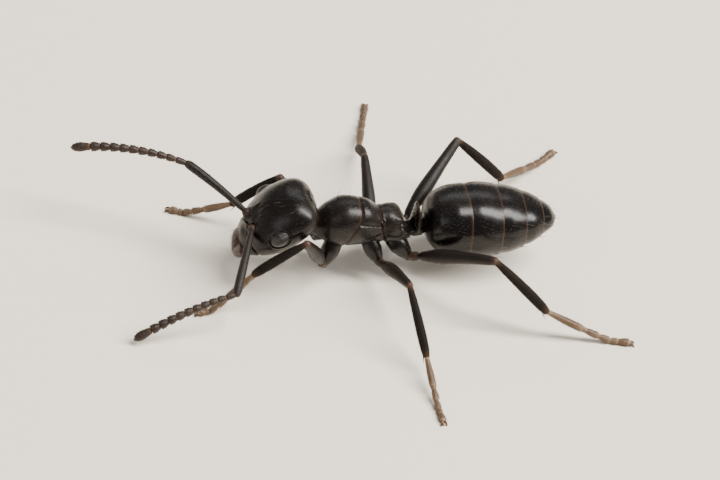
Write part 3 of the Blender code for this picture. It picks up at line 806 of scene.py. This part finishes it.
gaster = {
    "parts": (0.5, 0.86, 1.15, 1.38, 1.56, 1.7), "halfWidth": 0.355, "fullness": 2.15,
    "top": ((0.5, 0.6), (0.525, 0.69), (0.6, 0.775), (0.76, 0.825), (0.98, 0.835),
            (1.28, 0.785), (1.5, 0.7), (1.64, 0.612), (1.685, 0.562), (1.7, 0.535)),
    "under": ((0.5, 0.44), (0.525, 0.36), (0.6, 0.275), (0.78, 0.21), (1.02, 0.2),
              (1.3, 0.25), (1.52, 0.345), (1.64, 0.42), (1.685, 0.46), (1.7, 0.488)),
    "widths": ((0.5, 0.35), (0.525, 0.56), (0.6, 0.78), (0.76, 0.95), (0.96, 1.0), (1.22, 0.92),
               (1.44, 0.73), (1.6, 0.47), (1.67, 0.3), (1.7, 0.15)),
    "lap": 0.035,  # how far a ring reaches under the one before it
    "lip": 0.011,  # thickness of a ring's free edge
    "fold": 0.012, "foldAt": (0.5, 0.56),  # step down to the lower plate, and how low it lies
    "sweep": (0.012, 0.008),  # how far free edges lie forward below, and on the flanks
    "dome": 0.012, "frontInset": 0.15, "tipInset": 0.05,  # of the first ring and the last
    "domeTo": 0.1, "rollFrom": 0.9,  # shares of a ring's rows: its front dome, its free edge
    "open": 0.004, "covered": 0.012, "coverTo": 0.1,  # inset of a later ring, and more below a lap
    "narrowing": (0.002, 0.6),  # how much a ring narrows toward its free edge, and from where
}


# A ring of the gaster: it starts below the ring before it, comes up to full size, and rolls over a
# rounded free edge. The upper plate overhangs the lower one at a line on each flank.
def gasterRing(index):
    front, rear = gaster["parts"][index:index + 2]
    lap, lip, dome, domeTo, rollFrom = (gaster[k] for k in ("lap", "lip", "dome", "domeTo",
                                                            "rollFrom"))
    narrows, narrowFrom = gaster["narrowing"]

    def skin(u, turn):
        below = ease(-np.sin(turn), *gaster["foldAt"])
        sweepBelow, sweepBeside = gaster["sweep"]
        end = rear - sweepBelow * below - sweepBeside * np.cos(turn) ** 2
        if index == 0:
            start = ramp(u, 0, domeTo) * rightAngle
            x = front - dome * np.cos(start) + (end - front) * ramp(u, domeTo, rollFrom)
            inset = gaster["frontInset"] * (1 - np.sin(start))
        else:
            x = front - lap + (end - front + lap) * ramp(u, 0, rollFrom)
            uncovered = ease(x, front - lap, front + gaster["coverTo"])
            inset = gaster["open"] + gaster["covered"] * (1 - uncovered)
        over = ramp(u, rollFrom, 1) * rightAngle
        if index < 4:
            x = x + 0.5 * lip * (np.sin(2 * over) - 0.2 * (1 - np.cos(2 * over)))
            inset = inset + 0.5 * lip * (1 - np.cos(2 * over))
            inset = inset + narrows * ease(u, narrowFrom, rollFrom)
        else:
            x = x + dome * np.sin(over)
            inset = inset + gaster["tipInset"] * (1 - np.cos(over))
        return barrel(gaster, x, turn, inset + gaster["fold"] * below)
    return skin


gasterSkins = [gasterRing(i) for i in range(5)]
for i, skin in enumerate(gasterSkins):
    def freeEdge(u, turn):
        edge = 0.85 * ease(u, 0.84, 0.91) if i < 4 else 0.6 * ease(u, 0.7, 1)
        return edge + 0.5 * hill(-np.sin(turn) - 0.49, 0.05)
    makePiece(f"gasterRing_{i + 1}", [shell(skin, 120, 240, freeEdge)], "gasterPlate", "plate",
              f"gaster_{i + 1}")
print("gaster made")


leg = {
    # each part's piece, finish, slot, rise, domes, rows, columns, pale ends, and radius along it
    "coxa": ("hip", "thoraxPlate", "plate", 0.0, (0.08, 0.1), 80, 60,
             dict(far=(0.7, 0.86, 1.0)),
             ((0.0, 0.08), (0.3, 0.085), (0.7, 0.066), (0.92, 0.046), (1.0, 0.04))),
    "femur": ("thigh", "limb", "limb", 0.02, (0.04, 0.05), 150, 48,
              dict(near=(0.8, 0.05, 0.2), far=(0.75, 0.9, 0.99)),
              ((0.0, 0.032), (0.05, 0.04), (0.09, 0.039), (0.125, 0.028), (0.16, 0.04),
               (0.4, 0.062), (0.75, 0.048), (0.93, 0.041), (1.0, 0.035))),
    "tibia": ("shin", "shin", "limb", 0.01, (0.05, 0.05), 150, 44,
              dict(near=(0.75, 0.03, 0.16), far=(0.8, 0.84, 0.99)),
              ((0.0, 0.025), (0.05, 0.028), (0.09, 0.029), (0.25, 0.036), (0.7, 0.043),
               (0.9, 0.04), (1.0, 0.031))),
    "girth": {"fore": 1.0, "middle": 0.95, "hind": 1.06},
    "spurs": {"fore": ((0.0,), 0.115), "middle": ((-0.5, 0.5), 0.085),
              "hind": ((-0.5, 0.5), 0.085)},  # how each turns aside, and their length
    "footEnds": (0.0, 0.46, 0.64, 0.77, 0.87, 1.0),
    "footGirths": (0.032, 0.03, 0.029, 0.028, 0.033),
    "footDome": 0.02, "footNeck": 0.7, "footWaist": 0.28,
    "landing": 0.8,  # share of the foot after which it lies on the ground
    "claw": ((-0.02, 0.008, 0.025, 0.01012), (0.018, 0.016, 0.028, 0.0092),
             (0.042, 0.024, 0.014, 0.00644),
             (0.052, 0.027, 0.004, 0.00276)),  # ahead, aside, height, radius
    "pad": (0.026, 0.013), "padHalf": (0.022, 0.014, 0.01),
    # a thorn: how far it tapers, its domes, rows and columns, and how pale it is
    "thorn": (0.88, (0.08, 0.04), (22, 10), 0.5),
    # a spur: its root before the shin's end, root and tip aside, its bow, its radius
    "spur": (0.02, 0.026, 0.05, 0.008, 0.0065),
    # a foot's bristle: its root before a joint's end, aside and below; its way ahead, aside and up;
    # the lowest its tip may be; its bow and radius
    "footBristle": ((0.015, 0.0176, 0.0121), (0.032, 0.008, -0.004), 0.003, 0.001, 0.0032),
    # hip root, hip, knee, ankle, toe
    "joints": {
        "fore_left": ((-0.345, -0.105, 0.44), (-0.43, -0.175, 0.235), (-0.72, -0.43, 0.76),
                      (-1.15, -0.44, 0.43), (-1.6, -0.48, 0.0)),
        "fore_right": ((-0.345, 0.105, 0.44), (-0.42, 0.18, 0.235), (-0.74, 0.5, 0.68),
                       (-1.08, 0.62, 0.26), (-1.57, 0.82, 0.0)),
        "middle_left": ((-0.01, -0.09, 0.41), (0.08, -0.19, 0.245), (0.143, -0.865, 0.61),
                        (0.25, -1.34, 0.2), (0.28, -1.97, 0.0)),
        "middle_right": ((-0.01, 0.09, 0.41), (0.1, 0.19, 0.245), (0.16, 0.88, 0.5),
                         (0.28, 1.37, 0.12), (0.5, 1.99, 0.0)),
        "hind_left": ((0.21, -0.09, 0.43), (0.35, -0.18, 0.285), (0.935, -0.755, 0.745),
                      (1.42, -0.98, 0.31), (2.19, -1.15, 0.0)),
        "hind_right": ((0.21, 0.09, 0.43), (0.35, 0.18, 0.285), (0.965, 0.8, 0.72),
                       (1.44, 0.77, 0.25), (2.08, 1.28, 0.0)),
    },
}


# The line of a foot: straight on plan, its height falling as (1 - s / landing) to the power 1.15.
def footPath(ankle, toe, level):
    def path(s):
        line = ankle + scaled(toe - ankle, s)
        fall = np.clip(1 - np.asarray(s) / leg["landing"], 0, 1) ** 1.15
        return xyz(line[..., 0], line[..., 1], level + (ankle[2] - level) * fall)
    return path


def thorn(start, end, rise, radius):
    taper, domes, grid, pale = leg["thorn"]
    cone = tubeSkin(bowed(start, end, rise), lambda s: radius * (1 - taper * s), domes)
    return shell(cone, *grid, pale)


# Spurs, thin cones at the end of a shin.
def spurs(pair, knee, ankle, girth):
    along = unit(ankle - knee)
    beside = unit(np.cross(along, upright))
    turns, length = leg["spurs"][pair]
    back, root, tip, bow, radius = leg["spur"]
    end = ankle - along * back
    for turnBy in turns:
        way = unit(beside * turnBy - unit(np.cross(beside, along))) * girth
        yield thorn(end + way * root, end + way * tip + along * length, way * bow, radius)


# Two bristles under the end of each joint of a foot.
def footBristles(path, ahead, aside, girth):
    (back, out, below), way, lowest, bow, radius = leg["footBristle"]
    for end in leg["footEnds"][1:-1]:
        for sign in (-1, 1):
            start = path(end - back) + (aside * sign * out - upright * below) * girth
            tip = start + np.array(way) @ (ahead, aside * sign, upright)
            tip[2] = max(tip[2], lowest)
            yield thorn(start, tip, upright * bow, radius)


# Two claws, tubes along a smooth curve through the hook's points, and a pad between them.
def claws(last, ahead, aside):
    reach, spread, height, radii = np.array(leg["claw"]).T
    for sign in (-1, 1):
        line = last + np.outer(reach, ahead) + np.outer(spread, sign * aside)
        line[:, 2] = height

        def hook(s):
            at = np.asarray(s) * (len(line) - 1)
            return np.stack([through(list(enumerate(row)), at) for row in line.T], -1)
        yield shell(tubeSkin(hook, lambda s: np.interp(s, (0, 0.4, 0.75, 1), radii), (0.05, 0.03)),
                    40, 16, paleEnds((0.6, 0.0, 0.5)))
    long, wide, tall = leg["padHalf"]
    along, level = leg["pad"]
    middle = last + ahead * along + upright * (level - last[2])
    yield shell(eggSkin(middle, ahead * long, aside * wide, upright * tall), 18, 16, 1.0)


def makeLeg(name, joints):
    joints = [np.array(joint) for joint in joints]
    knee, ankle, toe = joints[2:]
    pair = name.split("_")[0]
    girth = leg["girth"][pair]
    skins = {}
    for part, start, end in zip(("coxa", "femur", "tibia"), joints, joints[1:]):
        piece, material, slot, rise, domes, rows, columns, pale, radii = leg[part]
        skins[part] = tubeSkin(bowed(start, end, upright * rise),
                               lambda s, radii=radii: girth * through(radii, s), domes)
        extra = spurs(pair, knee, ankle, girth) if part == "tibia" else ()
        makePiece(f"{piece}_{name}", [shell(skins[part], rows, columns, paleEnds(**pale)), *extra],
                  material, slot, f"{part}_{name}")
    ends, girths = leg["footEnds"], girth * np.array(leg["footGirths"])
    dome = leg["footDome"]
    path = footPath(ankle, toe, 0.75 * girths[-1])
    rounded = tubeSkin(path, beadedRadius(ends, girths, leg["footNeck"],
                                          leg["footWaist"]), (dome, dome))

    def foot(u, turn):  # no foot dips into the ground
        x, y, z = np.moveaxis(rounded(u, turn), -1, 0)
        return xyz(x, y, np.maximum(z, 0.0))
    ahead = unit((toe - ankle) * (1, 1, 0))
    aside = np.cross(upright, ahead)
    rim = paleJoints(ends, dome, (0.5, 0.0, 0.2), (0.5, 0.75, 1.0))
    makePiece(f"foot_{name}", [shell(foot, 300, 30, rim), *footBristles(path, ahead, aside, girth)],
              "foot", "foot", f"tarsus_{name}")
    makePiece(f"claws_{name}", list(claws(path(1.0), ahead, aside)), "claw", "foot")
    return {**skins, "foot": foot}


legSkins = {name: makeLeg(name, joints) for name, joints in leg["joints"].items()}
print("legs made")


# Kinds of hair. Each field below can change any of these values.
hairKinds = {
    "flat": dict(length=0.034, thickness=0.001, lift=0.26, drop=0.22, stray=0.22),
    "bristle": dict(length=0.1, thickness=0.0024, lift=1.1, drop=0.25, stray=0.4),
}
strand = {
    "stations": (0.0, 0.4, 0.75, 1.0), "taper": 0.8, "rootDepth": 0.003, "overGround": 0.0004,
    "spread": 0.25,  # how far lengths and lifts differ
    "pale": (0.0, 0.3, 0.7, 1.0),
    "mapSpan": (0.1, 0.8), "mapStep": 0.001,  # of a field's strip, and of a patch's grid
}
# A strand is three rings of three corners and a tip.
strandFaces = ((0, 3, 4, 1), (1, 4, 5, 2), (2, 5, 3, 0), (3, 6, 7, 4), (4, 7, 8, 5), (5, 8, 6, 3),
               (6, 9, 7), (7, 9, 8), (8, 9, 6), (0, 1, 2))


# Roots spread evenly over a surface: a two-way lattice of golden steps, kept where a third step
# falls under the local area times the wanted density.
def rootsOn(skin, count, span, wanted):
    golden = 1.2207440846057596
    n = np.arange(1, 6 * count + 1)
    u = span[0] + (span[1] - span[0]) * np.mod(0.5 + n / golden, 1)
    turn = math.tau * np.mod(0.5 + n / golden ** 2, 1)
    chance = np.linalg.norm(np.cross(*slopes(skin, u, turn)), axis=-1) * wanted(u, turn)
    kept = np.mod(0.5 + n / golden ** 3, 1) < chance / chance.sum() * count
    return u[kept], turn[kept]


# Tapered strands. Their middle line is root + (lie s + out (lift s - drop s squared)) times the
# length, and their radius falls as 1 - 0.8 s to a closed tip. Each strand is a small patch of the
# OFBake map at its root's place.
def growHairs(name, fields, material, slot):
    s = np.array(strand["stations"])[:, None, None]
    spin = (np.arange(3) * math.tau / 3)[:, None, None]
    points, faces, patches, pale = [], [], [], []
    start = 0
    for index, field in enumerate(fields):
        skin, thickness = field["skin"], field["thickness"]
        u, turn = rootsOn(skin, field["count"], field.get("span", (0.05, 0.95)),
                          field.get("wanted", lambda u, turn: 1.0))
        count = len(u)
        root, out = skin(u, turn), normalAt(skin, u, turn)
        lie = unit(slopes(skin, u, turn, 3e-3)[0])
        yaw = rng.normal(0, field["stray"], count)[:, None]
        lie = lie * np.cos(yaw) + np.cross(out, lie) * np.sin(yaw)
        spread = strand["spread"]
        length, lift = (field[k] * (1 + rng.uniform(-spread, spread, count))[:, None]
                        for k in ("length", "lift"))
        line = root - out * strand["rootDepth"] + length * (
            lie * s + out * (lift * s - field["drop"] * s * s))
        line[..., 2] = np.maximum(line[..., 2], thickness + strand["overGround"])  # over the ground
        ring = unit(np.cross(lie, out)) * np.cos(spin) + out * np.sin(spin)
        rings = line[:3, None] + ring * thickness * (1 - strand["taper"] * s[:3, None])
        points += [rings.reshape(-1, 3), line[3]]
        block = np.arange(10)[:, None] * count + np.arange(count) + start
        for corners in strandFaces:
            faces += block[list(corners)].T.tolist()
        low, wide = strand["mapSpan"]
        strip = np.stack([(index + low + wide * turn / math.tau) / len(fields), u], 1)
        patch = np.array([(k % 3 - 1, k // 3 - 1.5) for k in range(10)]) * strand["mapStep"]
        patches.append((strip[None] + patch[:, None]).reshape(-1, 2))
        pale.append(np.repeat(np.repeat(strand["pale"], (3, 3, 3, 1)), count))
        start += 10 * count
    mesh = addPiece(name, np.concatenate(points), faces, np.concatenate(pale), finish[material],
                    slot)
    corners = np.zeros(len(mesh.loops), np.int32)
    mesh.loops.foreach_get("vertex_index", corners)
    bakeMap = mesh.uv_layers.new(name="OFBake")
    bakeMap.data.foreach_set("uv", np.concatenate(patches)[corners].ravel())
    print(name, start // 10, "hairs")


def hairs(kind, skin, count, span=(0.05, 0.95), **changed):
    return dict(hairKinds[kind], skin=skin, count=count, span=span, **changed)


def onTop(low):
    return lambda u, turn: ease(np.sin(turn), low, low + 0.3)


growHairs("hairHead", [
    hairs("flat", capsuleFull, 1300, (0.06, 0.94)),
    hairs("bristle", capsuleFull, 10, (0.08, 0.5), wanted=onTop(0.5), length=0.07),
    hairs("flat", clypeusFull, 90, (0.1, 0.7)),
    hairs("bristle", clypeusFull, 12, (0.55, 0.8), wanted=onTop(0.2), length=0.13, lift=0.35,
          drop=0.2),
    *(hairs("flat", jawSkin(side), 60, (0.1, 0.8), wanted=onTop(0.0), length=0.05, lift=0.5)
      for side in sides.values())], "hair", "plate")
growHairs("hairThorax", [
    *(hairs("flat", skin, count, (0.08, 0.92))
      for skin, count in zip(thoraxSkins.values(), (700, 380, 420))),
    hairs("bristle", thoraxSkins["pronotum"], 5, (0.5, 0.9), wanted=onTop(0.6), length=0.08),
    hairs("flat", scaleSkin, 120, (0.2, 0.9), length=0.04, lift=0.5)], "hair", "plate")
growHairs("hairGaster", [
    *(hairs("flat", skin, count, (0.18, 0.88), length=0.036)
      for skin, count in zip(gasterSkins, (800, 620, 440, 280, 120))),
    *(hairs("bristle", skin, count, (0.7, 0.86), length=0.09, lift=0.7)
      for skin, count in zip(gasterSkins[1:], (8, 10, 12, 10)))], "hair", "plate")
for name, (scape, lash) in feelerSkins.items():
    growHairs(f"hairFeeler_{name}", [
        hairs("flat", scape, 700, length=0.026, lift=0.36),
        hairs("flat", lash, 2200, (0.02, 0.985), length=0.019, lift=0.5, thickness=0.0009,
              stray=0.3)], "hair", "limb")
for name, skins in legSkins.items():
    growHairs(f"hairLeg_{name}", [
        hairs("flat", skins["coxa"], 110, (0.3, 0.9)),
        hairs("flat", skins["femur"], 800, length=0.028, lift=0.34),
        hairs("flat", skins["tibia"], 1300, length=0.027, lift=0.45),
        hairs("flat", skins["foot"], 900, (0.03, 0.97), length=0.026, lift=0.55,
              wanted=lambda u, turn: 0.25 + ease(u, 0.0, 0.3))], "limbHair", "foot")
print("hairs made")


studio = {
    "floorSize": 240.0, "floorTints": ((0.9, 0.81, 0.68, 1), (0.93, 0.85, 0.73, 1)),
    "floorCloud": 300.0, "floorRoughness": 0.7,
    "lookAt": (-0.06, 0.01, 0.33), "toCamera": (-0.2675, -0.677, 0.685), "distance": 124.0,
    "roll": 12.0, "lens": 700.0, "clip": (10.0, 2000.0),
    "world": (0.88, 0.88, 0.88, 1), "worldStrength": 0.34,
    "lights": {  # place, size, power, colour
        "mainLight": ((50, -17, 80), (32, 100), 0.262, (1.0, 0.975, 0.935)),
        "rimLight": ((10, 64, 66), (90, 20), 0.016, (0.975, 0.985, 1.0)),
        "fillLight": ((-75, -34, 56), (46, 46), 0.013, (0.95, 0.97, 1.0)),
    },
}


def putInScene(name, data, location, turned):
    thing = bpy.data.objects.new(name, data)
    thing.location = location
    thing.rotation_mode = "QUATERNION"
    thing.rotation_quaternion = turned
    bpy.context.scene.collection.objects.link(thing)
    return thing


paint, tree, shader, coordinates = newMaterial("paleFloor")
cloud = addNode(tree, "TexNoise", {"Vector": coordinates, "Scale": studio["floorCloud"],
                                   "Detail": 4.0}, "Fac")
pale, paler = studio["floorTints"]
feed(tree, shader, {
    "Base Color": addNode(tree, "Mix", {0: cloud, 6: pale, 7: paler}, 2, data_type="RGBA"),
    "Roughness": studio["floorRoughness"]})
edge = studio["floorSize"] / 2 * mm
floorMesh = bpy.data.meshes.new("floor")
floorMesh.from_pydata([(-edge, -edge, 0), (edge, -edge, 0), (edge, edge, 0), (-edge, edge, 0)], [],
                      [(0, 1, 2, 3)])
floorMesh.materials.append(paint)
floor = putInScene("floor", floorMesh, (0, 0, 0), Quaternion())

world = bpy.data.worlds.new("softSky")
world.use_nodes = True
feed(world.node_tree, world.node_tree.nodes["Background"].inputs,
     {"Color": studio["world"], "Strength": studio["worldStrength"]})
bpy.context.scene.world = world

for name, (spot, size, power, colour) in studio["lights"].items():
    light = bpy.data.lights.new(name, "AREA")
    light.shape, light.size, light.size_y = "RECTANGLE", size[0] * mm, size[1] * mm
    light.energy, light.color = power, colour
    putInScene(name, light, Vector(spot) * mm, (-Vector(spot)).to_track_quat("-Z", "Y"))

lens = bpy.data.cameras.new("camera")
lens.lens, lens.sensor_width = studio["lens"], 36.0
lens.clip_start, lens.clip_end = (far * mm for far in studio["clip"])
toCamera = Vector(studio["toCamera"]).normalized()
roll = Quaternion((0, 0, 1), math.radians(studio["roll"]))
bpy.context.scene.camera = putInScene(
    "camera", lens, (Vector(studio["lookAt"]) + toCamera * studio["distance"]) * mm,
    toCamera.to_track_quat("Z", "Y") @ roll)
print("studio made")
